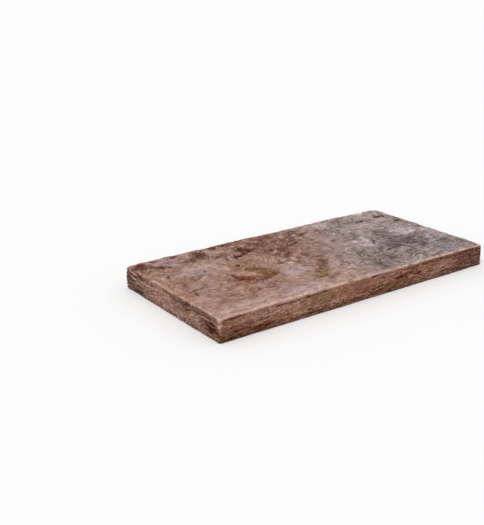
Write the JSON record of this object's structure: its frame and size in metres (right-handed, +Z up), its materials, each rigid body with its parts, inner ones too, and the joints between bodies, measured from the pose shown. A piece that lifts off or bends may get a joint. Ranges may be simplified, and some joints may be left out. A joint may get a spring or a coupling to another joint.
{
  "type": "mineral wool insulation board",
  "caption": "Flat semi-rigid board of bonded brown mineral wool with soft rounded edges, laid flat; it fills the space between studs, rafters or wall leaves.",
  "frame": {"origin": "centre of the underside, on the surface that the board lies on", "axes": "+X along the board's length, +Y across its width, +Z up through its thickness"},
  "size_m": [1.25, 0.6, 0.085],
  "materials": {
    "mineral_wool": "matte fibrous mat, mottled pinkish brown above and darker brown on the cut edges"
  },
  "bodies": {
    "root": {"wool_board": "mineral_wool"}
  },
  "joints": []
}
